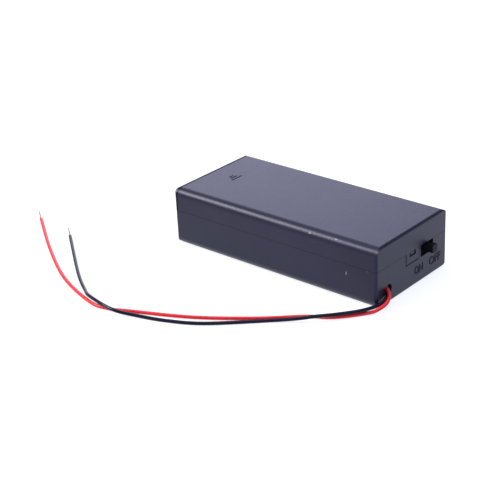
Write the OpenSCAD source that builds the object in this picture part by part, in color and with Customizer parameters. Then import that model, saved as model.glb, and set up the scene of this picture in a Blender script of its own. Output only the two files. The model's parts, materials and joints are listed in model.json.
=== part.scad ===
// Battery box for two cylindrical cells in series, with a sliding cover,
// a slide switch in one end and two stranded leads.
// Millimetres. +X points at the switch end, +Y away from the lead exit, +Z up.
// The origin is the middle of the underside.

/* [Cells] */
// Diameter of one cell
cell_d = 18.6; // [18:0.1:21]
// Space between the two cells
cell_web = 1.1; // [0.9:0.1:3]
// Play beside and below each cell
cell_play = 0.15; // [0.1:0.05:0.5]
// Play between the cells and the cover
head_play = 0.45; // [0.2:0.05:1.5]
// Length of the cell bays between their end walls
bay_l = 74; // [70:0.5:90]
// Length of the room for the switch and the wiring
room_l = 12.55; // [12:0.05:20]

/* [Shell] */
// Side wall of the tray below the seam
tray_wall = 2.1; // [1.9:0.05:3]
// Floor of the tray
floor_t = 1.7; // [1.4:0.05:2.5]
// Height of the seam between tray and cover above the underside
seam_z = 13.9; // [13.3:0.1:15]
// Width of the seam
seam_gap = 0.1; // [0.05:0.01:0.2]
// End plate that the cover stops against
plate_t = 1.15; // [1:0.05:2]
// Gap between the end plate and the cover
plate_gap = 0.35; // [0.2:0.05:0.6]
// Wall behind the end plate, inside the cover
rear_t = 1.3; // [1:0.1:2]
// Bulkhead between the cells and the switch room
bulkhead_t = 1.5; // [1:0.1:2.5]
// End wall at the switch
end_t = 1.5; // [1.4:0.05:2.5]
// Side skirts of the cover
skirt_t = 1; // [0.9:0.05:1.1]
// Top of the cover
top_t = 1.6; // [1.2:0.05:2.5]
// Radius of the four long edges
side_r = 3.2; // [1.5:0.1:4]
// Radius of the edges round both ends
end_r = 1; // [0.4:0.05:1.1]
// Running clearance of the cover
run_gap = 0.15; // [0.1:0.01:0.2]

/* [Rails] */
// Height of the lip inside the cover's skirts
lip_h = 3.2; // [2.8:0.1:4]
// Height of the bead along the lip
bead_h = 0.8; // [0.6:0.05:1]
// Reach of the bead behind the skirt
bead_hook = 0.3; // [0.15:0.05:0.35]

/* [Cradles] */
// Thickness of the ribs that cradle the cells
rib_t = 1.2; // [0.8:0.1:2]
// Height of the cradle ribs above the underside
rib_z = 4; // [3:0.1:5]
// Cradle ribs under each cell
rib_n = 3; // [1:1:5]
// Thickness of the low wall between the cells
web_t = 1.2; // [0.8:0.1:1.4]
// Height of the low wall above the underside
web_z = 7.4; // [5:0.1:7.8]

/* [Latch] */
// Middle of the latch tongue across the box
latch_y = 0.1; // [-3:0.1:0.1]
// Width of the tongue
tongue_w = 7.8; // [6:0.1:8]
// Length of the tongue below the seam
tongue_h = 4.2; // [3.5:0.1:6]
// Thickness of the tongue
tongue_t = 0.8; // [0.6:0.05:0.9]
// Gap round the tongue, and round the catch in its window
tongue_gap = 0.25; // [0.15:0.01:0.3]
// Width of the window in the tongue
window_w = 3.3; // [2.5:0.1:4.5]
// Height of the window below the seam
window_h = 1.5; // [1.2:0.1:2.5]

/* [Switch] */
// Middle of the switch across the box
switch_y = 8.9; // [8.85:0.05:11]
// Middle of the switch above the underside
switch_z = 11.7; // [11.6:0.05:11.8]
// Width of the slot in the end wall
slot_w = 7.7; // [7.6:0.1:8]
// Height of the slot, up to the seam
slot_h = 4.4; // [4.2:0.1:4.6]
// Width of the knob
knob_w = 2.75; // [2.4:0.05:3.2]
// Height of the knob
knob_h = 3; // [2.6:0.05:3.2]
// Reach of the knob past the end wall
knob_out = 2.7; // [1.5:0.1:3.5]
// Travel of the knob
knob_travel = 2; // [1.5:0.1:2.4]
// Length of the steel shell of the switch
shell_l = 10.4; // [10:0.1:12]
// Height of the steel shell
shell_h = 5.8; // [5.4:0.1:6.2]
// Depth of the steel shell
shell_d = 4.6; // [4.2:0.1:5]
// Sheet of the steel shell
shell_t = 0.3; // [0.2:0.05:0.4]
// Thickness of the terminal board
board_t = 1; // [0.8:0.1:1.2]
// Spacing of the three terminals
pin_pitch = 3; // [2.5:0.05:3.2]
// Width of a terminal
pin_w = 1.2; // [0.8:0.1:1.5]
// Thickness of a terminal
pin_t = 0.4; // [0.3:0.05:0.6]
// Length of a terminal behind the board
pin_l = 3.2; // [2.5:0.1:3.6]

/* [Contacts] */
// Thickness of the contact plates
contact_t = 0.4; // [0.3:0.05:0.5]
// Width of a contact plate
contact_w = 12; // [10:0.5:13]
// Height of the contact plates above the floor
contact_h = 15.4; // [14:0.1:17]
// Height of the strip that joins the two contacts of the bridge
strip_h = 3.2; // [2:0.1:4]
// Width of the solder tabs
tab_w = 3; // [2:0.1:4]
// Reach of the solder tabs into the switch room
tab_l = 2.6; // [2:0.1:2.8]
// Height of the solder tabs above the underside
tab_z = 6; // [4.5:0.1:6.5]
// Diameter of the raised positive contact
dimple_d = 5; // [4:0.1:7]
// Height of the raised positive contact
dimple_h = 0.9; // [0.5:0.1:1.5]
// Wire of the springs
spring_wire = 0.8; // [0.6:0.05:1]
// Diameter of a spring at its plate
spring_d = 10; // [8:0.1:11]
// Diameter of a spring at its tip
spring_tip_d = 6; // [5:0.1:8]
// Free length of a spring
spring_l = 8.6; // [6:0.1:10]
// Turns of a spring
spring_turns = 4.5; // [3:0.5:6]

/* [Leads] */
// Diameter of the lead hole in the end wall
hole_d = 3.5; // [3.4:0.1:4]
// Middle of the lead hole across the box
hole_y = -14.25; // [-16:0.05:-10]
// Middle of the lead hole above the underside
hole_z = 5.3; // [4.5:0.05:6]
// Outer diameter of a lead
lead_d = 1.3; // [1.1:0.05:1.4]
// Diameter of the tinned strands
core_d = 0.5; // [0.4:0.05:0.8]

/* [Hidden] */
$fn = 64;
eps = 0.01;

// Overall sizes, worked out from the cells and the walls
cell_pitch = cell_d + cell_web;
box_w = cell_pitch + cell_d + 2 * (cell_play + tray_wall);
box_h = floor_t + cell_play + cell_d + head_play + top_t;
box_l = plate_t + rear_t + bay_l + bulkhead_t + room_l + end_t;

// Stations along the box
x_plate = -box_l / 2;
x_rear = x_plate + plate_t;
x_bay = x_rear + rear_t;
x_bulkhead = x_bay + bay_l;
x_room = x_bulkhead + bulkhead_t;
x_wall = x_room + room_l;
x_face = x_wall + end_t;
cell_z = floor_t + cell_play + cell_d / 2;

// Stations across and above
cell_y = cell_pitch / 2;
bay_y = box_w / 2 - tray_wall;
skirt_y = box_w / 2 - skirt_t;
lip_y = skirt_y - run_gap;
cover_z = seam_z + seam_gap;
ceiling_z = box_h - top_t;
bay_r = 1.2;
ceiling_r = max(side_r - (skirt_t + top_t) / 2, 0.4);
bead_z = seam_z + lip_h / 2;
bead_y = skirt_y + bead_hook;
groove_y = bead_y + run_gap;
x_hollow = x_wall + run_gap;

// Cradles, guides and supports inside the tray
rib_gap = cell_play + 0.1;
guide_t = 0.6;
guide_w = 1;
guide_hook = 0.8;
guide_z = cell_z;
fit_gap = 0.05;
slot_gap = 0.2;
support_t = 1.2;
contact_r = 1;

// Latch
tongue_z = seam_z - tongue_h;
pocket_d = tongue_t + run_gap;
window_z = seam_z - window_h;

// Switch, from the end wall inwards
x_can = x_wall - shell_d;
can_top = switch_z + shell_h / 2;
can_low = switch_z - shell_h / 2;
slider_play = 0.15;
slider_l = shell_l - 2 * (shell_t + slider_play) - knob_travel;
slider_h = 4.4;
slider_t = 1.2;
slider_x = x_wall - shell_t - fit_gap - slider_t;
knob_y = switch_y + knob_travel / 2;
knob_r = 0.35;
window_l = knob_travel + knob_w + 0.75;
wiper_t = 0.25;
wiper_h = 2.2;
wiper_end = 0.8;
bump_r = 0.5;
wiper_x = slider_x - wiper_t;
pad_l = 2.2;
pad_h = 2.4;
pad_x = wiper_x - bump_r - 0.1;
board_x = x_can + board_t;
crimp_l = 1.2;
crimp_h = 0.8;
crimp_y = shell_l / 4;
pin_x = x_can - pin_l;

// Solder joints
tab_x = x_room + tab_l;
solder_r = 1.1;
solder_inset = 1.2;
solder_sink = 0.2;
solder_h = solder_r - solder_sink;
jumper_bite = 0.2;
jumper_from = [pin_x + solder_inset, switch_y - pin_pitch, switch_z - pin_t / 2 - solder_h + jumper_bite];
jumper_to = [tab_x - solder_inset + lead_d / 2, cell_y, tab_z + contact_t / 2 + solder_h + jumper_bite];
jumper_route = [jumper_from, jumper_from + [-0.6, 0.6, -1.4], jumper_to + [1.9, -1.5, 0.5], jumper_to];

// Springs
spring_sides = 8;
spring_step = 24;
clip_t = 0.3;
clip_w = 1.4;
clip_angles = [45, 135];

// Leads: the points that each one passes through, from its solder joint to where the tin begins
lead_sides = 8;
core_l = 7.5;
red_route = [
    [37.9, 8.95, 10.9], [38.1, 7.7, 8.5], [38.4, 4.3, 6], [39.2, -4, 4.9], [41.6, -12.4, 6.4],
    [46.05, -15.15, 5.65], [48.2, -17.15, 4.2], [48.75, -19.9, 2.75], [47.1, -23.5, 1.2], [44.7, -26.4, 0.7],
    [40.3, -32, 0.7], [35.8, -36, 0.7], [29.8, -39.4, 0.7], [17.1, -50.2, 0.7], [-0.7, -62.1, 0.7],
    [-21.6, -71.7, 0.7], [-28.6, -74.6, 0.7], [-37.6, -75, 0.7], [-58.4, -67.9, 0.7], [-81.2, -54.5, 0.7],
    [-105.4, -37.7, 0.7]
];
black_route = [
    [33.4, -10, 7.1], [35.4, -11.7, 6.9], [40, -12.5, 5], [43.8, -13.15, 4.9], [45.9, -14.45, 4.3],
    [47, -16.85, 3.35], [46.85, -21.05, 2.4], [44.2, -27.2, 2.1], [38.8, -34.4, 2.1], [33.8, -39.8, 2.1],
    [29.3, -43, 1.3], [21.3, -49.2, 0.7], [5.3, -63.1, 0.7], [-6.7, -69.3, 0.7], [-17.7, -72.8, 0.8],
    [-25.6, -75.9, 2], [-38.1, -74, 2.1], [-45.5, -70, 1], [-57.9, -61.8, 0.7], [-83.6, -42.1, 0.7]
];

function unit(v) = v / norm(v);

// Points of a smooth curve through the points p, with n steps to each stretch
function bend(a, b, c, d, t) =
    0.5 * (2 * b + (c - a) * t + (2 * a - 5 * b + 4 * c - d) * t * t
        + (3 * b - a - 3 * c + d) * t * t * t);
function smooth(p, n) = let (last = len(p) - 1) concat(
    [for (i = [0:last - 1], k = [0:n - 1])
        bend(i == 0 ? 2 * p[0] - p[1] : p[i - 1], p[i], p[i + 1],
            i + 2 > last ? 2 * p[last] - p[last - 1] : p[i + 2], k / n)],
    [p[last]]);

// Rings of a tube along the points p, each one square to the way the tube runs there
function heading(p, i) = unit(p[min(i + 1, len(p) - 1)] - p[max(i - 1, 0)]);
function ring(p, t, r, sides, up) =
    let (s = unit(cross(t, up)), u = cross(s, t))
    [for (k = [0:sides - 1]) p + r * (cos(k * 360 / sides) * s + sin(k * 360 / sides) * u)];
function tube_points(p, r, sides, up) =
    [for (i = [0:len(p) - 1]) each ring(p[i], heading(p, i), r, sides, up)];
function tube_faces(rings, sides) = concat(
    [[for (k = [0:sides - 1]) k]],
    [for (i = [0:rings - 2], k = [0:sides - 1]) [
        i * sides + k, (i + 1) * sides + k,
        (i + 1) * sides + (k + 1) % sides, i * sides + (k + 1) % sides
    ]],
    [[for (k = [sides - 1:-1:0]) (rings - 1) * sides + k]]);

// Centre line of a spring that stands on x = 0 and winds along +X, with half a turn flat at each end
spring_last = spring_turns * 360;
function spring_rise(a) = min(max((a - 180) / (spring_last - 360), 0), 1);
function spring_radius(a) = (spring_d - spring_wire
    - (spring_d - spring_tip_d) * max(a - 180, 0) / (spring_last - 180)) / 2;
spring_line = [for (a = [0:spring_step:spring_last]) [
    spring_wire / 2 + (spring_l - spring_wire) * spring_rise(a),
    spring_radius(a) * cos(a), spring_radius(a) * sin(a)
]];

red_line = smooth(red_route, 2);
black_line = smooth(black_route, 2);
function tin_line(line) = let (last = len(line) - 1)
    [line[last], line[last] + core_l * heading(line, last)];

// A tube swept along the points p
module tube(p, d, sides = lead_sides, up = [0, 0, 1]) {
    polyhedron(tube_points(p, d / 2, sides, up), tube_faces(len(p), sides), convexity = 8);
}

// A profile in Y and Z drawn out along X
module along_x(x, l) {
    translate([x, 0, 0]) rotate([90, 0, 90]) linear_extrude(l) children();
}

// A block from its lowest corner to its highest
module block(low, high) {
    translate(low) cube(high - low);
}

// The children at both sides of the plane y = 0
module both_sides() {
    for (m = [0, 1]) mirror([0, m, 0]) children();
}

// A rectangle about the origin with round corners
module round_rect(w, h, r) {
    square([w - 2 * r, h], center = true);
    square([w, h - 2 * r], center = true);
    for (x = [-1, 1], y = [-1, 1]) translate([x * (w / 2 - r), y * (h / 2 - r)]) circle(r);
}

// The closed box: three outlines crossed, so that the edges round its ends are round too
module box_form() {
    intersection() {
        along_x(x_plate, box_l) translate([0, box_h / 2]) round_rect(box_w, box_h, side_r);
        translate([0, box_w / 2, box_h / 2]) rotate([90, 0, 0])
            linear_extrude(box_w) round_rect(box_l, box_h, end_r);
        linear_extrude(box_h) round_rect(box_l, box_w, end_r);
    }
}

// A hollow of the tray, open upwards
module tray_hollow(x, l) {
    along_x(x, l) translate([0, floor_t + box_h / 2]) round_rect(2 * bay_y, box_h, bay_r);
}

// A cross wall that reaches up into the cover
module cross_wall(x, l) {
    h = ceiling_z - run_gap - floor_t / 2;
    along_x(x, l) translate([0, floor_t / 2 + h / 2]) round_rect(2 * lip_y, h, ceiling_r - run_gap);
}

// Lip and bead that the cover runs on, along one side
module rail() {
    along_x(x_rear, x_wall - run_gap - x_rear) {
        translate([bay_y, seam_z - lip_h]) square([lip_y - bay_y, 2 * lip_h]);
        polygon([
            [lip_y - eps, bead_z], [bead_y, bead_z],
            [bead_y, bead_z + bead_h / 2], [lip_y - eps, bead_z + bead_h]
        ]);
    }
}

// Ribs across the tray that carry the cells from below
module cradle_ribs() {
    for (i = [1:rib_n]) along_x(x_bay + bay_l * i / (rib_n + 1) - rib_t / 2, rib_t) difference() {
        translate([-bay_y - eps, floor_t / 2]) square([2 * (bay_y + eps), rib_z - floor_t / 2]);
        for (y = [-cell_y, cell_y]) translate([y, cell_z]) circle(cell_d / 2 + rib_gap);
    }
}

// The low wall between the cells
module web() {
    x = x_bay + contact_t + slot_gap;
    along_x(x, x_bulkhead + eps - x) {
        translate([-web_t / 2, floor_t / 2]) square([web_t, web_z - web_t / 2 - floor_t / 2]);
        translate([0, web_z - web_t / 2]) circle(web_t / 2);
    }
}

// A hooked guide that stands on a wall at x = 0 and holds a sheet of thickness t,
// whose edge is at y = 0, from the height low to the height high
module guide(t, low, high) {
    face = t + fit_gap;
    translate([0, fit_gap, low]) linear_extrude(high - low) polygon([
        [-eps, 0], [face, 0], [face, -guide_hook], [face + guide_t, -guide_hook],
        [face + guide_t, guide_w], [-eps, guide_w]
    ]);
}

// The guides of one contact plate, with the inner one raised clear of the bridge strip
module plate_guides(inner_low) {
    translate([0, cell_y + contact_w / 2, 0]) guide(contact_t, floor_t / 2, guide_z);
    translate([0, cell_y - contact_w / 2, 0]) mirror([0, 1, 0]) guide(contact_t, inner_low, guide_z);
}

// Ribs and posts that the switch drops into, behind the end wall
module switch_seat() {
    for (y = [-1, 1]) block(
        [x_can, switch_y + y * pin_pitch - support_t / 2, floor_t / 2],
        [x_wall + eps, switch_y + y * pin_pitch + support_t / 2, can_low]);
    translate([x_wall, switch_y, 0]) mirror([1, 0, 0]) both_sides()
        translate([0, shell_l / 2, 0]) guide(shell_d, floor_t / 2, seam_z);
}

// Tray: floor, walls up to the seam, end plate, cross walls, rails and seats
module base_tray() {
    color("#25262b") difference() {
        union() {
            difference() {
                intersection() {
                    box_form();
                    union() {
                        block([x_plate - 1, -box_w, -1], [x_face + 1, box_w, seam_z]);
                        block([x_plate - 1, -box_w, -1], [x_rear, box_w, box_h + 1]);
                    }
                }
                tray_hollow(x_bay, bay_l);
                tray_hollow(x_room, room_l);
            }
            cross_wall(x_rear - eps, rear_t + eps);
            cross_wall(x_bulkhead, bulkhead_t);
            both_sides() {
                rail();
                translate([x_bay, 0, 0]) plate_guides(floor_t + strip_h + fit_gap);
                translate([x_bulkhead, 0, 0]) mirror([1, 0, 0]) plate_guides(floor_t / 2);
            }
            web();
            cradle_ribs();
            switch_seat();
        }
        // Passages of the solder tabs through the bulkhead
        both_sides() block(
            [x_bulkhead - 1, cell_y - tab_w / 2 - slot_gap, tab_z - contact_t / 2 - slot_gap],
            [x_room + 1, cell_y + tab_w / 2 + slot_gap, tab_z + contact_t / 2 + slot_gap]);
        // Slot of the knob, open upwards
        block([x_wall - eps, switch_y - slot_w / 2, switch_z - slot_h / 2],
            [x_face + 1, switch_y + slot_w / 2, box_h]);
        // Lead hole
        translate([x_wall - 1, hole_y, hole_z]) rotate([0, 90, 0]) cylinder(h = end_t + 2, d = hole_d);
        // Pocket of the tongue, with the catch left standing in it
        difference() {
            block([x_face - pocket_d, latch_y - tongue_w / 2 - tongue_gap, tongue_z - tongue_gap],
                [x_face + 1, latch_y + tongue_w / 2 + tongue_gap, box_h]);
            block([x_wall, latch_y - window_w / 2 + tongue_gap, window_z + tongue_gap],
                [x_face - run_gap, latch_y + window_w / 2 - tongue_gap, seam_z - tongue_gap]);
        }
    }
}

// Cover: top, skirts with a groove for the bead, and end wall above the switch
module sliding_cover() {
    color("#2b2c33") difference() {
        intersection() {
            box_form();
            block([x_rear + plate_gap, -box_w, cover_z], [x_face + 1, box_w, box_h + 1]);
        }
        along_x(x_rear, x_hollow - x_rear)
            translate([0, ceiling_z - box_h / 2]) round_rect(2 * skirt_y, box_h, ceiling_r);
        both_sides() along_x(x_rear, x_hollow - x_rear)
            translate([skirt_y - 1, bead_z - run_gap])
            square([groove_y - skirt_y + 1, bead_h + 2 * run_gap]);
    }
}

// Tongue that hangs from the cover's end wall, with a window for the catch
module latch_tongue() {
    color("#2b2c33") difference() {
        block([x_face - tongue_t, latch_y - tongue_w / 2, tongue_z],
            [x_face, latch_y + tongue_w / 2, cover_z]);
        block([x_face - tongue_t - 1, latch_y - window_w / 2, window_z],
            [x_face + 1, latch_y + window_w / 2, seam_z]);
    }
}

// Sheet of one contact plate, standing on the floor with its back at x = 0
module contact_sheet() {
    along_x(0, contact_t) translate([0, floor_t + contact_h / 2])
        round_rect(contact_w, contact_h, contact_r);
}

// Pressed dimple that meets the positive end of a cell
module dimple() {
    translate([contact_t, 0, cell_z]) rotate([0, 90, 0]) rotate_extrude() polygon([
        [0, dimple_h - contact_t], [dimple_d / 2 - contact_t - dimple_h, dimple_h - contact_t],
        [dimple_d / 2 - contact_t, -contact_t], [dimple_d / 2, -contact_t],
        [dimple_d / 2, 0], [dimple_d / 2 - dimple_h, dimple_h], [0, dimple_h]
    ]);
}

// Opening of the dimple in the back of its sheet
module dimple_back() {
    translate([-1, 0, cell_z]) rotate([0, 90, 0]) cylinder(h = contact_t + 2, r = dimple_d / 2 - contact_t);
}

// Two clips of the sheet, bent over the first turn of the spring
module spring_clips() {
    r = spring_d / 2 + fit_gap;
    for (a = clip_angles) translate([contact_t, 0, cell_z]) rotate([a, 0, 0]) {
        block([-contact_t / 2, r, -clip_w / 2], [spring_wire + 2 * fit_gap + clip_t, r + clip_t, clip_w / 2]);
        block([spring_wire + 2 * fit_gap, r - spring_wire / 2, -clip_w / 2],
            [spring_wire + 2 * fit_gap + clip_t, r + clip_t, clip_w / 2]);
    }
}

// Solder tab, lanced from the foot of a sheet and led through the bulkhead
module tab_sheet() {
    difference() {
        children();
        block([-1, -tab_w / 2 - slot_gap, 0], [contact_t + 1, tab_w / 2 + slot_gap, tab_z - contact_t / 2]);
    }
    block([-bulkhead_t - tab_l, -tab_w / 2, tab_z - contact_t / 2],
        [contact_t, tab_w / 2, tab_z + contact_t / 2]);
}

// Spring that stands on its sheet
module cell_spring() {
    translate([contact_t + fit_gap, 0, cell_z]) tube(spring_line, spring_wire, spring_sides, [1, 0, 0]);
}

// The children at the end plate, in the bay at the side y
module at_rear(y) {
    translate([x_bay, y, 0]) children();
}

// The children at the bulkhead, in the bay at the side y
module at_bulkhead(y) {
    translate([x_bulkhead, y, 0]) mirror([1, 0, 0]) children();
}

module bridge_plate() {
    color("#c9c6bd") {
        at_rear(-cell_y) {
            difference() {
                contact_sheet();
                dimple_back();
            }
            dimple();
        }
        at_rear(cell_y) {
            contact_sheet();
            spring_clips();
        }
        y = cell_y - contact_w / 2 + contact_r;
        block([x_bay, -y, floor_t], [x_bay + contact_t, y, floor_t + strip_h]);
    }
}

module bridge_spring() {
    color("#b9b7b0") at_rear(cell_y) cell_spring();
}

module positive_plate() {
    color("#c9c6bd") at_bulkhead(cell_y) {
        tab_sheet() difference() {
            contact_sheet();
            dimple_back();
        }
        dimple();
    }
}

module negative_plate() {
    color("#c9c6bd") at_bulkhead(-cell_y) {
        tab_sheet() contact_sheet();
        spring_clips();
    }
}

module negative_spring() {
    color("#b9b7b0") at_bulkhead(-cell_y) cell_spring();
}

// Steel shell, open at the back, with four tabs crimped over the board
module switch_shell() {
    color("#3a3b3f") {
        difference() {
            block([x_can, switch_y - shell_l / 2, can_low], [x_wall, switch_y + shell_l / 2, can_top]);
            block([x_can - 1, switch_y - shell_l / 2 + shell_t, can_low + shell_t],
                [x_wall - shell_t, switch_y + shell_l / 2 - shell_t, can_top - shell_t]);
            block([x_can, switch_y - window_l / 2, switch_z - knob_h / 2 - slot_gap],
                [x_wall + 1, switch_y + window_l / 2, switch_z + knob_h / 2 + slot_gap]);
        }
        for (y = [-crimp_y, crimp_y], side = [0, 1])
            translate([x_can, switch_y + y, switch_z]) mirror([0, 0, side]) {
                block([-shell_t, -crimp_l / 2, shell_h / 2 - crimp_h], [0, crimp_l / 2, shell_h / 2]);
                block([-shell_t, -crimp_l / 2, shell_h / 2 - shell_t], [shell_t, crimp_l / 2, shell_h / 2]);
            }
    }
}

// Board that closes the shell, with a slot for each terminal
module switch_board() {
    w = shell_l / 2 - shell_t - fit_gap;
    h = shell_h / 2 - shell_t - fit_gap;
    color("#7a5a3a") difference() {
        block([x_can, switch_y - w, switch_z - h], [board_x, switch_y + w, switch_z + h]);
        for (i = [-1:1]) block(
            [x_can - 1, switch_y + i * pin_pitch - pin_w / 2 - fit_gap, switch_z - pin_t / 2 - fit_gap],
            [board_x + 1, switch_y + i * pin_pitch + pin_w / 2 + fit_gap, switch_z + pin_t / 2 + fit_gap]);
    }
}

// Terminal number i, counted from the middle: a pad on the board and a pin through it
module terminal(i) {
    color("#d8d4c4") translate([0, switch_y + i * pin_pitch, switch_z]) {
        block([board_x, -pad_l / 2, -pad_h / 2], [pad_x, pad_l / 2, pad_h / 2]);
        block([pin_x, -pin_w / 2, -pin_t / 2], [board_x + eps, pin_w / 2, pin_t / 2]);
    }
}

module terminal_on() {
    terminal(-1);
}

module terminal_common() {
    terminal(0);
}

module terminal_off() {
    terminal(1);
}

// Slider and knob, moulded as one and shown switched off
module switch_knob() {
    color("#2a2b30") {
        along_x(slider_x, slider_t) translate([knob_y, switch_z]) round_rect(slider_l, slider_h, knob_r);
        along_x(slider_x, x_face + knob_out - slider_x) translate([knob_y, switch_z])
            round_rect(knob_w, knob_h, knob_r);
    }
}

// Contact spring on the back of the slider, with a bump at each end
module switch_wiper() {
    l = pin_pitch / 2 + wiper_end;
    color("#d8b365") translate([wiper_x, knob_y, switch_z - wiper_h / 2]) {
        block([0, -l, 0], [wiper_t, l, wiper_h]);
        for (y = [-1, 1]) difference() {
            translate([0, y * pin_pitch / 2, 0]) cylinder(h = wiper_h, r = bump_r);
            block([wiper_t, -l, -1], [1, l, wiper_h + 1]);
        }
    }
}

module jumper_wire() {
    color("#c22f2a") tube(smooth(jumper_route, 2), lead_d);
}

// A dome of solder on a face at p, above it or below it
module solder(p, side) {
    color("#cfd1d4") intersection() {
        translate(p - [0, 0, side * solder_sink]) sphere(solder_r);
        translate(p) mirror([0, 0, side < 0 ? 1 : 0])
            translate([-solder_r, -solder_r, 0]) cube(2 * solder_r);
    }
}

// Solder under the pin of terminal number i
module pin_solder(i) {
    solder([pin_x + solder_inset, switch_y + i * pin_pitch, switch_z - pin_t / 2], -1);
}

// Solder on the tab at the side y
module tab_solder(y) {
    solder([tab_x - solder_inset, y, tab_z + contact_t / 2], 1);
}

module solder_common() {
    pin_solder(0);
}

module solder_on() {
    pin_solder(-1);
}

module solder_positive() {
    tab_solder(cell_y);
}

module solder_negative() {
    tab_solder(-cell_y);
}

module red_lead() {
    color("#c8322c") tube(red_line, lead_d);
}

module black_lead() {
    color("#232326") tube(black_line, lead_d);
}

module red_bare_end() {
    color("#c7c9cc") tube(tin_line(red_line), core_d);
}

module black_bare_end() {
    color("#c7c9cc") tube(tin_line(black_line), core_d);
}

base_tray();
sliding_cover();
latch_tongue();
bridge_plate();
bridge_spring();
positive_plate();
negative_plate();
negative_spring();
switch_shell();
switch_board();
terminal_on();
terminal_common();
terminal_off();
switch_knob();
switch_wiper();
jumper_wire();
solder_common();
solder_on();
solder_positive();
solder_negative();
red_lead();
black_lead();
red_bare_end();
black_bare_end();
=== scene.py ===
import json
import math

import bmesh
import bpy
from mathutils import Matrix, Vector


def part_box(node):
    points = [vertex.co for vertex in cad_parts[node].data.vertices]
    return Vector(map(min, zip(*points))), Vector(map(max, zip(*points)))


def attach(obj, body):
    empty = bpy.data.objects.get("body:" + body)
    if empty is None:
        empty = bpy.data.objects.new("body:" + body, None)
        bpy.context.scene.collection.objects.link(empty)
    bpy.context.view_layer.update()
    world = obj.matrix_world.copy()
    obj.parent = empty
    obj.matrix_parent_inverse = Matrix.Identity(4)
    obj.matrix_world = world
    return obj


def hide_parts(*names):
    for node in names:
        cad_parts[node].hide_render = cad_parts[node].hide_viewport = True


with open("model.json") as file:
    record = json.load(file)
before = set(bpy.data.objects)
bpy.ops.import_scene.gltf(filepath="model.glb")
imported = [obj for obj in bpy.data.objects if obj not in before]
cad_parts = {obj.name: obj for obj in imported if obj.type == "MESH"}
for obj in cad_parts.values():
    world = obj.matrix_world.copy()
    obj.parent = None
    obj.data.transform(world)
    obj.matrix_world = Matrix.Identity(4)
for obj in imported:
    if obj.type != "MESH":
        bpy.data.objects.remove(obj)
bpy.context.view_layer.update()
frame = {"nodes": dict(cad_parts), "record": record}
scene = bpy.context.scene
mm = 0.001
print("frame loaded")


def addObject(name, data):
    piece = bpy.data.objects.new(name, data)
    scene.collection.objects.link(piece)
    return piece


def addShape(name, shape):
    mesh = bpy.data.meshes.new(name)
    shape.to_mesh(mesh)
    shape.free()
    return addObject(name, mesh)


cameraPlace = {
    "azimuth": 41.546,     # degrees round the box, from in front of its long side
    "elevation": 25.839,
    "roll": -2.796,
    "distance": 0.4748,    # metres, as are the next four
    "aside": 0.0210,       # how far the box stands off the middle of the view
    "above": 0.00865,
    "aimHeight": 0.011,
    "nearest": 0.01,       # what is closer to the camera isn't drawn
    "lens": 93.43,         # mm
}


def makeCamera(place):
    azimuth, elevation, roll = (math.radians(place[k]) for k in ("azimuth", "elevation", "roll"))
    back = Vector((math.sin(azimuth) * math.cos(elevation),
                   -math.cos(azimuth) * math.cos(elevation), math.sin(elevation)))
    right = (-back).cross(Vector((0, 0, 1))).normalized()
    up = right.cross(-back)
    right, up = (right * math.cos(roll) + up * math.sin(roll),
                 up * math.cos(roll) - right * math.sin(roll))
    spot = back * place["distance"] - right * place["aside"] - up * place["above"]
    spot.z += place["aimHeight"]
    data = bpy.data.cameras.new("camera")
    data.lens = place["lens"]
    data.clip_start = place["nearest"]
    camera = addObject("camera", data)
    turn = Matrix((right, up, back)).transposed().to_4x4()
    camera.matrix_world = Matrix.Translation(spot) @ turn
    scene.camera = camera


makeCamera(cameraPlace)
print("camera placed")

leadSize = {
    "outer": 1.3,              # over the jacket; all lengths here are in mm
    "roundness": 6,            # the jacket has 4 corners round it, and twice this many more
    "steps": 8,                # pieces of the curve from one point of a route to the next
    "bare": 7.5,               # length of the bare strands
    "inside": 1.0,             # how far they reach into the jacket
    "core": 0.5,               # over all the strands
    "strands": 7,
    "strand": 0.17,            # over one strand
    "strandRoundness": 2,      # the same for a strand
    "strandSteps": 32,         # pieces of a strand from end to end
    "lay": 5.0,                # length in which a strand goes round once
    "tightened": 0.12,         # share by which the strands draw in towards the tip
}

# The same points as in the source of the part, in mm
redRoute = [
    (37.9, 8.95, 10.9), (38.1, 7.7, 8.5), (38.4, 4.3, 6), (39.2, -4, 4.9),
    (41.6, -12.4, 6.4), (46.05, -15.15, 5.65), (48.2, -17.15, 4.2), (48.75, -19.9, 2.75),
    (47.1, -23.5, 1.2), (44.7, -26.4, 0.7), (40.3, -32, 0.7), (35.8, -36, 0.7),
    (29.8, -39.4, 0.7), (17.1, -50.2, 0.7), (-0.7, -62.1, 0.7), (-21.6, -71.7, 0.7),
    (-28.6, -74.6, 0.7), (-37.6, -75, 0.7), (-58.4, -67.9, 0.7), (-81.2, -54.5, 0.7),
    (-105.4, -37.7, 0.7),
]
blackRoute = [
    (33.4, -10, 7.1), (35.4, -11.7, 6.9), (40, -12.5, 5), (43.8, -13.15, 4.9),
    (45.9, -14.45, 4.3), (47, -16.85, 3.35), (46.85, -21.05, 2.4), (44.2, -27.2, 2.1),
    (38.8, -34.4, 2.1), (33.8, -39.8, 2.1), (29.3, -43, 1.3), (21.3, -49.2, 0.7),
    (5.3, -63.1, 0.7), (-6.7, -69.3, 0.7), (-17.7, -72.8, 0.8), (-25.6, -75.9, 2),
    (-38.1, -74, 2.1), (-45.5, -70, 1), (-57.9, -61.8, 0.7), (-83.6, -42.1, 0.7),
]


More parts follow.
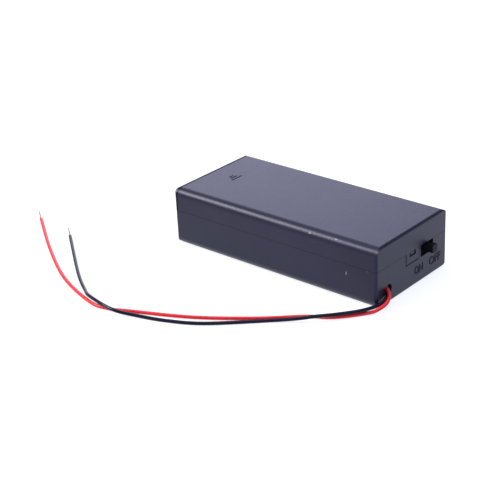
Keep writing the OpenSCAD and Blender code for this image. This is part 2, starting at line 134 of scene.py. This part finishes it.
def smoothLine(points, steps):
    # the same curve through the points as the solids follow
    p = [Vector(q) for q in points]
    p = [2 * p[0] - p[1], *p, 2 * p[-1] - p[-2]]
    line = []
    for a, b, c, d in zip(p, p[1:], p[2:], p[3:]):
        for k in range(steps):
            t = k / steps
            line.append(0.5 * (2 * b + (c - a) * t + (2 * a - 5 * b + 4 * c - d) * t * t
                               + (3 * b - a - 3 * c + d) * t ** 3))
    line.append(p[-2])
    return [q * mm for q in line]


def tubeCurve(name, lines, width, roundness):
    curve = bpy.data.curves.new(name, "CURVE")
    curve.dimensions = "3D"
    curve.bevel_depth = 1          # each point's radius gives the real one
    curve.bevel_resolution = roundness
    curve.use_fill_caps = True
    for line in lines:
        spline = curve.splines.new("POLY")
        spline.points.add(len(line) - 1)
        for point, q in zip(spline.points, line):
            point.co = (*q, 1)
            point.radius = width / 2
    return addObject(name, curve)


def bareStrands(name, line):
    # strands laid round a middle one, from inside the jacket to the tip
    end, ahead = line[-1], (line[-1] - line[-3]).normalized()
    side = ahead.cross(Vector((0, 0, 1))).normalized()
    up = side.cross(ahead)
    start, stop = -leadSize["inside"] * mm, leadSize["bare"] * mm
    ring = (leadSize["core"] - leadSize["strand"]) / 2 * mm
    steps = leadSize["strandSteps"]
    strands = []
    for k in range(leadSize["strands"]):
        reach = 0 if k == 0 else ring
        strand = []
        for i in range(steps + 1):
            s = start + (stop - start) * i / steps
            turn = 2 * math.pi * (k / (leadSize["strands"] - 1) + s / (leadSize["lay"] * mm))
            tight = 1 - leadSize["tightened"] * max(0, s / stop) ** 2
            off = reach * tight * (side * math.cos(turn) + up * math.sin(turn))
            strand.append(end + ahead * s + off)
        strands.append(strand)
    return tubeCurve(name, strands, leadSize["strand"] * mm, leadSize["strandRoundness"])


def makeLead(name, route, oldLead, oldTip):
    line = smoothLine(route, leadSize["steps"])
    lead = tubeCurve(name, [line], leadSize["outer"] * mm, leadSize["roundness"])
    tip = bareStrands(name + "Strands", line)
    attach(lead, "tray")
    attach(tip, "tray")
    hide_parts(oldLead)
    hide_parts(oldTip)
    return lead, tip


redLead, redStrands = makeLead(
    "redLead", redRoute, "red_lead", "red_bare_end")
blackLead, blackStrands = makeLead(
    "blackLead", blackRoute, "black_lead", "black_bare_end")
print("leads laid")

noiseLow, noiseHigh = 0.3, 0.7     # nearly all of a noise lies between these


def newMaterial(name):
    material = bpy.data.materials.new(name)
    material.use_nodes = True
    nodes = material.node_tree.nodes
    shader = nodes["Principled BSDF"]
    place = nodes.new("ShaderNodeTexCoord")
    return material, nodes, material.node_tree.links, shader, place.outputs["Object"]


def addNoise(nodes, links, where, scale, detail):
    noise = nodes.new("ShaderNodeTexNoise")
    noise.inputs["Scale"].default_value = scale
    noise.inputs["Detail"].default_value = detail
    links.new(where, noise.inputs["Vector"])
    return noise.outputs["Fac"]


def addRamp(nodes, links, value, look):
    ramp = nodes.new("ShaderNodeValToRGB")
    stops = ((noiseLow, look["dark"]), (noiseHigh, look["light"]))
    for element, (at, colour) in zip(ramp.color_ramp.elements, stops):
        element.position = at
        element.color = (*colour, 1)
    links.new(value, ramp.inputs["Fac"])
    return ramp.outputs["Color"]


def addRange(nodes, links, value, low, high, toLow, toHigh):
    change = nodes.new("ShaderNodeMapRange")
    for socket, number in (("From Min", low), ("From Max", high),
                           ("To Min", toLow), ("To Max", toHigh)):
        change.inputs[socket].default_value = number
    links.new(value, change.inputs["Value"])
    return change.outputs["Result"]


def addBump(nodes, links, shader, height, strength, distance):
    bump = nodes.new("ShaderNodeBump")
    bump.inputs["Strength"].default_value = strength
    bump.inputs["Distance"].default_value = distance
    links.new(height, bump.inputs["Height"])
    links.new(bump.outputs["Normal"], shader.inputs["Normal"])


def addVectorMath(nodes, links, operation, first, second=None):
    step = nodes.new("ShaderNodeVectorMath")
    step.operation = operation
    links.new(first, step.inputs[0])
    if second:
        step.inputs[1].default_value = second
    return step.outputs["Value" if operation == "LENGTH" else "Vector"]


# Nicks and flecks of use
scuffs = {
    "colour": (0.42, 0.42, 0.46),
    "core": 0.4,                   # share of its reach in which a scuff has its full strength
    # middle in mm, reach along x, y and z in mm, strength
    "spots": [
        ((33.4, -21.4, 10.5), (0.22, 0.3, 0.85), 0.6),
        ((42.3, -21.4, 13.6), (0.22, 0.3, 0.28), 0.2),
        ((17.6, -20.8, 21.1), (0.55, 0.4, 0.36), 0.55),
        ((28.6, -20.4, 21.6), (0.70, 0.4, 0.30), 0.45),
        ((19.4, -20.6, 21.4), (0.30, 0.3, 0.28), 0.25),
    ],
}


def addScuffs(nodes, links, where, colour):
    # each scuff is a small ellipsoid in which the plastic turns pale
    for middle, reach, strength in scuffs["spots"]:
        apart = addVectorMath(nodes, links, "SUBTRACT", where, [c * mm for c in middle])
        apart = addVectorMath(nodes, links, "DIVIDE", apart, [c * mm for c in reach])
        apart = addVectorMath(nodes, links, "LENGTH", apart)
        mix = nodes.new("ShaderNodeMix")
        mix.data_type = "RGBA"
        share = addRange(nodes, links, apart, scuffs["core"], 1, strength, 0)
        links.new(share, mix.inputs["Factor"])
        links.new(colour, mix.inputs["A"])
        mix.inputs["B"].default_value = (*scuffs["colour"], 1)
        colour = mix.outputs["Result"]
    return colour


def mouldedPlastic(name, look):
    material, nodes, links, shader, where = newMaterial(name)
    cloud = addNoise(nodes, links, where, look["cloudScale"], look["cloudDetail"])
    colour = addRamp(nodes, links, cloud, look)
    if look["scuffed"]:
        colour = addScuffs(nodes, links, where, colour)
    links.new(colour, shader.inputs["Base Color"])
    grain = addNoise(nodes, links, where, look["grainScale"], look["grainDetail"])
    rough = addRange(nodes, links, grain, noiseLow, noiseHigh, look["roughLow"], look["roughHigh"])
    links.new(rough, shader.inputs["Roughness"])
    addBump(nodes, links, shader, grain, look["grainStrength"], look["grainDepth"])
    shader.inputs["Specular IOR Level"].default_value = look["specular"]
    shader.inputs["Specular Tint"].default_value = (*look["tint"], 1)
    return material


plastic = {
    "dark": (0.008, 0.008, 0.017),
    "light": (0.011, 0.011, 0.022),
    "cloudScale": 60,
    "cloudDetail": 4,
    "grainScale": 2600,
    "grainDetail": 2,
    "grainStrength": 0.12,
    "grainDepth": 0.00003,
    "roughLow": 0.32,
    "roughHigh": 0.40,
    "specular": 0.45,
    "tint": (0.49, 0.49, 1.0),
    "scuffed": False,
}
shellPlastic = dict(plastic, scuffed=True)
knobPlastic = dict(plastic, dark=(0.005, 0.005, 0.008), light=(0.008, 0.008, 0.012),
                   roughLow=0.45, roughHigh=0.55, specular=0.16)
# near-black matte plastic: painted shade for the arrow's sunk strokes and for the gaps at the
# latch and the end plate
grooveShade = dict(plastic, dark=(0.004, 0.004, 0.006), light=(0.006, 0.006, 0.009),
                   roughLow=0.7, roughHigh=0.8, specular=0.08)
# darker plastic for the raised letters: painted shade on their strokes
wordShade = dict(plastic, dark=(0.006, 0.006, 0.011), light=(0.009, 0.009, 0.016),
                 roughLow=0.5, roughHigh=0.6, specular=0.17)
laminate = dict(plastic, dark=(0.16, 0.08, 0.03), light=(0.23, 0.12, 0.05), tint=(1, 1, 1))


def jacket(name, look):
    material, nodes, links, shader, where = newMaterial(name)
    shader.inputs["Specular Tint"].default_value = (*look["tint"], 1)
    cloud = addNoise(nodes, links, where, look["cloudScale"], look["cloudDetail"])
    links.new(addRamp(nodes, links, cloud, look), shader.inputs["Base Color"])
    shader.inputs["Roughness"].default_value = look["rough"]
    shader.inputs["Specular IOR Level"].default_value = look["specular"]
    grain = addNoise(nodes, links, where, look["grainScale"], look["grainDetail"])
    addBump(nodes, links, shader, grain, look["grainStrength"], look["grainDepth"])
    return material


redJacket = {
    "dark": (0.60, 0.010, 0.022),
    "light": (0.72, 0.014, 0.032),
    "cloudScale": 120,
    "cloudDetail": 3,
    "grainScale": 1500,
    "grainDetail": 2,
    "grainStrength": 0.1,
    "grainDepth": 0.00004,
    "rough": 0.36,
    "specular": 0.4,
    "tint": (1, 0.9, 1),
}
blackJacket = dict(redJacket, dark=(0.003, 0.003, 0.010), light=(0.006, 0.006, 0.018),
                   rough=0.19, specular=0.28, tint=(0.55, 0.58, 1.0))


def sheetMetal(name, look):
    material, nodes, links, shader, where = newMaterial(name)
    cloud = addNoise(nodes, links, where, look["scale"], look["detail"])
    links.new(addRamp(nodes, links, cloud, look), shader.inputs["Base Color"])
    rough = addRange(nodes, links, cloud, noiseLow, noiseHigh, look["roughLow"], look["roughHigh"])
    links.new(rough, shader.inputs["Roughness"])
    shader.inputs["Metallic"].default_value = look["metal"]
    scratch = addNoise(nodes, links, where, look["scale"] * look["finer"], look["scratchDetail"])
    addBump(nodes, links, shader, scratch, look["scratchStrength"], look["scratchDepth"])
    return material


nickel = {
    "dark": (0.50, 0.48, 0.44),
    "light": (0.66, 0.64, 0.60),
    "scale": 300,
    "detail": 4,
    "roughLow": 0.22,
    "roughHigh": 0.38,
    "metal": 1.0,
    "finer": 8,                    # how many times finer than the cloud the scratches are
    "scratchDetail": 2,
    "scratchStrength": 0.08,
    "scratchDepth": 0.00002,
}
metals = {
    "contact": nickel,
    "spring": dict(nickel, dark=(0.45, 0.44, 0.41), light=(0.6, 0.59, 0.56)),
    "switch_case": dict(nickel, dark=(0.010, 0.010, 0.012), light=(0.02, 0.02, 0.024),
                        roughLow=0.45, roughHigh=0.6, metal=0.2),
    "terminal": dict(nickel, dark=(0.6, 0.58, 0.5), light=(0.75, 0.72, 0.64)),
    "wiper": dict(nickel, dark=(0.55, 0.33, 0.10), light=(0.72, 0.47, 0.17)),
    "solder": dict(nickel, dark=(0.5, 0.5, 0.52), light=(0.68, 0.69, 0.7), scale=900,
                   roughLow=0.16, roughHigh=0.32),
    "tinned_strands": dict(nickel, dark=(0.26, 0.26, 0.29), light=(0.40, 0.40, 0.43),
                           scale=1200),
}

finishes = {slot: sheetMetal(slot, look) for slot, look in metals.items()}
finishes.update({
    "housing": mouldedPlastic("housing", shellPlastic),
    "cover": mouldedPlastic("cover", shellPlastic),
    "words": mouldedPlastic("words", wordShade),
    "groove": mouldedPlastic("groove", grooveShade),
    "knob": mouldedPlastic("knob", knobPlastic),
    "board": mouldedPlastic("board", laminate),
    "red_jacket": jacket("red_jacket", redJacket),
    "black_jacket": jacket("black_jacket", blackJacket),
})


def dress(piece, finish):
    piece.data.materials.clear()
    piece.data.materials.append(finishes[finish])


for part in frame["record"]["subparts"]:
    dress(frame["nodes"][part["node"]], part["material_slot"])
for piece, finish in ((redLead, "red_jacket"), (blackLead, "black_jacket"),
                      (redStrands, "tinned_strands"), (blackStrands, "tinned_strands")):
    dress(piece, finish)
print("materials made")

lettering = {
    "rise": 0.12,          # mm that the strokes stand off the end wall
    "bold": 0.008,         # added round each stroke, in ems
    "roundness": 4,        # pieces in each bend of a stroke
    "onMiddle": 3.95,      # mm across the box
    "offMiddle": 14.1,
    "height": 3.1,
    "middleHeight": 5.45,
    "onWidth": 5.1,
    "offWidth": 7.0,
}


def raisedWord(name, text, middle, width):
    curve = bpy.data.curves.new(name, "FONT")
    curve.body = text
    curve.extrude = 0.5            # any thickness, scaled to the rise below
    curve.offset = lettering["bold"]
    curve.resolution_u = lettering["roundness"]
    word = addObject(name, curve)
    bpy.context.view_layer.update()
    flat = word.evaluated_get(bpy.context.evaluated_depsgraph_get())
    mesh = bpy.data.meshes.new_from_object(flat)
    bpy.data.objects.remove(word)
    low = Vector(min(v.co[k] for v in mesh.vertices) for k in range(3))
    high = Vector(max(v.co[k] for v in mesh.vertices) for k in range(3))
    size = Vector((width, lettering["height"], 2 * lettering["rise"])) * mm
    scale = Matrix.Diagonal([a / b for a, b in zip(size, high - low)]).to_4x4()
    # the word's own x runs along +Y, its y along +Z and its z along +X
    turn = Matrix(((0, 0, 1), (1, 0, 0), (0, 1, 0))).to_4x4()
    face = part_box("base_tray")[1].x
    place = Matrix.Translation((face, middle * mm, lettering["middleHeight"] * mm))
    mesh.transform(place @ turn @ scale @ Matrix.Translation(-(low + high) / 2))
    piece = addObject(name, mesh)
    # the strokes' darker plastic is painted shade
    dress(piece, "words")
    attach(piece, "tray")


raisedWord("wordOn", "ON", lettering["onMiddle"], lettering["onWidth"])
raisedWord("wordOff", "OFF", lettering["offMiddle"], lettering["offWidth"])

barRise = 0.02             # mm that the dark bars stand off the plastic


def paintedShadeBars(name, bars):
    # thin bars of painted groove shade, given by their middle and size in mm
    shape = bmesh.new()
    for middle, size in bars:
        made = bmesh.ops.create_cube(shape, size=mm)
        bmesh.ops.scale(shape, verts=made["verts"], vec=size)
        bmesh.ops.translate(shape, verts=made["verts"], vec=Vector(middle) * mm)
    piece = addShape(name, shape)
    dress(piece, "groove")
    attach(piece, "cover")


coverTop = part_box("sliding_cover")[1].z / mm

arrowMark = {
    "stations": (-35.8, -34.5, -33.1),     # mm along the box
    "lengths": (2.2, 3.4, 5.7),            # mm across it
    "middle": -0.4,
    "width": 0.6,
}
# the arrow's sunk strokes, drawn as thin bars of painted shade
paintedShadeBars("arrow", [
    ((station, arrowMark["middle"], coverTop), (arrowMark["width"], length, 2 * barRise))
    for station, length in zip(arrowMark["stations"], arrowMark["lengths"])])

# Painted shade in the gap between the cover and the end plate, in mm
endGapShade = {"station": -44.65, "width": 0.55, "length": 36.4}
paintedShadeBars("endShade", [
    ((endGapShade["station"], 0, coverTop), (endGapShade["width"], endGapShade["length"], 2 * barRise))])

# painted shade in the gaps round the latch tongue and its window
latchGapShade = {
    "line": 0.42,          # mm, width of the painted shade along the tongue
    "beside": 0.12,        # from the tongue's edge to the middle of the line
    "under": 0.1,
    "bottomEnd": 3.2,      # where the line under the tongue ends
    "windowLine": 0.4,
    "windowLow": 12.35,
    "windowHigh": 13.75,
    "windowSides": (-1.5, 1.8),
}


def latchShadeBars(mark):
    low, high = (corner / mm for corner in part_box("latch_tongue"))
    face, depth, line, thin = high.x, 2 * barRise, mark["line"], mark["windowLine"]
    left, right = mark["windowSides"]
    windowTall = mark["windowHigh"] - mark["windowLow"]
    windowMiddle = mark["windowLow"] + windowTall / 2
    tongueTall = mark["windowHigh"] - low.z
    return [
        ((face, low.y - mark["beside"], low.z + tongueTall / 2), (depth, line, tongueTall)),
        ((face, (low.y + mark["bottomEnd"]) / 2, low.z - mark["under"]),
         (depth, mark["bottomEnd"] - low.y, line)),
        ((face, left, windowMiddle), (depth, thin, windowTall)),
        ((face, right, windowMiddle), (depth, thin, windowTall)),
        ((face, (left + right) / 2, mark["windowLow"]), (depth, right - left + thin, thin)),
    ]


paintedShadeBars("latchShade", latchShadeBars(latchGapShade))
print("words, arrow and shades made")

floorLook = {
    "size": 6.0,
    "colour": (0.3, 0.3, 0.3),
    "rough": 0.9,
    "specular": 0.1,
    "glowColour": (0.92, 0.95, 1),
    "glow": 0.85,
}


def makeFloor(look):
    shape = bmesh.new()
    bmesh.ops.create_grid(shape, x_segments=1, y_segments=1, size=look["size"] / 2)
    floor = addShape("floor", shape)
    material = bpy.data.materials.new("floor")
    material.use_nodes = True
    shader = material.node_tree.nodes["Principled BSDF"]
    shader.inputs["Base Color"].default_value = (*look["colour"], 1)
    shader.inputs["Roughness"].default_value = look["rough"]
    shader.inputs["Specular IOR Level"].default_value = look["specular"]
    shader.inputs["Emission Color"].default_value = (*look["glowColour"], 1)
    shader.inputs["Emission Strength"].default_value = look["glow"]
    floor.data.materials.append(material)


makeFloor(floorLook)

# Round lamps that all look at the middle of the box's underside
lamps = {
    "overhead": {"spot": (-0.05, 0, 1.3), "size": 1.2, "power": 9, "colour": (1, 1, 1)},
    "behind": {"spot": (-0.88, 0.81, 0.50), "size": 0.95, "power": 4.5,
               "colour": (0.79, 0.80, 1)},
    "frontLeft": {"spot": (-0.70, -0.55, 0.74), "size": 0.5, "power": 14.5,
                  "colour": (1, 1, 0.68)},
}
studio = {"colour": (0.9, 0.92, 1), "strength": 0.45}


def makeLamp(name, lamp):
    data = bpy.data.lights.new(name, "AREA")
    data.shape = "DISK"
    data.size = lamp["size"]
    data.energy = lamp["power"]
    data.color = lamp["colour"]
    light = addObject(name, data)
    light.location = lamp["spot"]
    light.rotation_euler = (-Vector(lamp["spot"])).to_track_quat("-Z", "Y").to_euler()


def makeStudio(look):
    world = bpy.data.worlds.new("studio")
    world.use_nodes = True
    background = world.node_tree.nodes["Background"]
    background.inputs["Color"].default_value = (*look["colour"], 1)
    background.inputs["Strength"].default_value = look["strength"]
    scene.world = world
    scene.view_settings.view_transform = "Standard"


for name, lamp in lamps.items():
    makeLamp(name, lamp)
makeStudio(studio)
print("floor and light made")
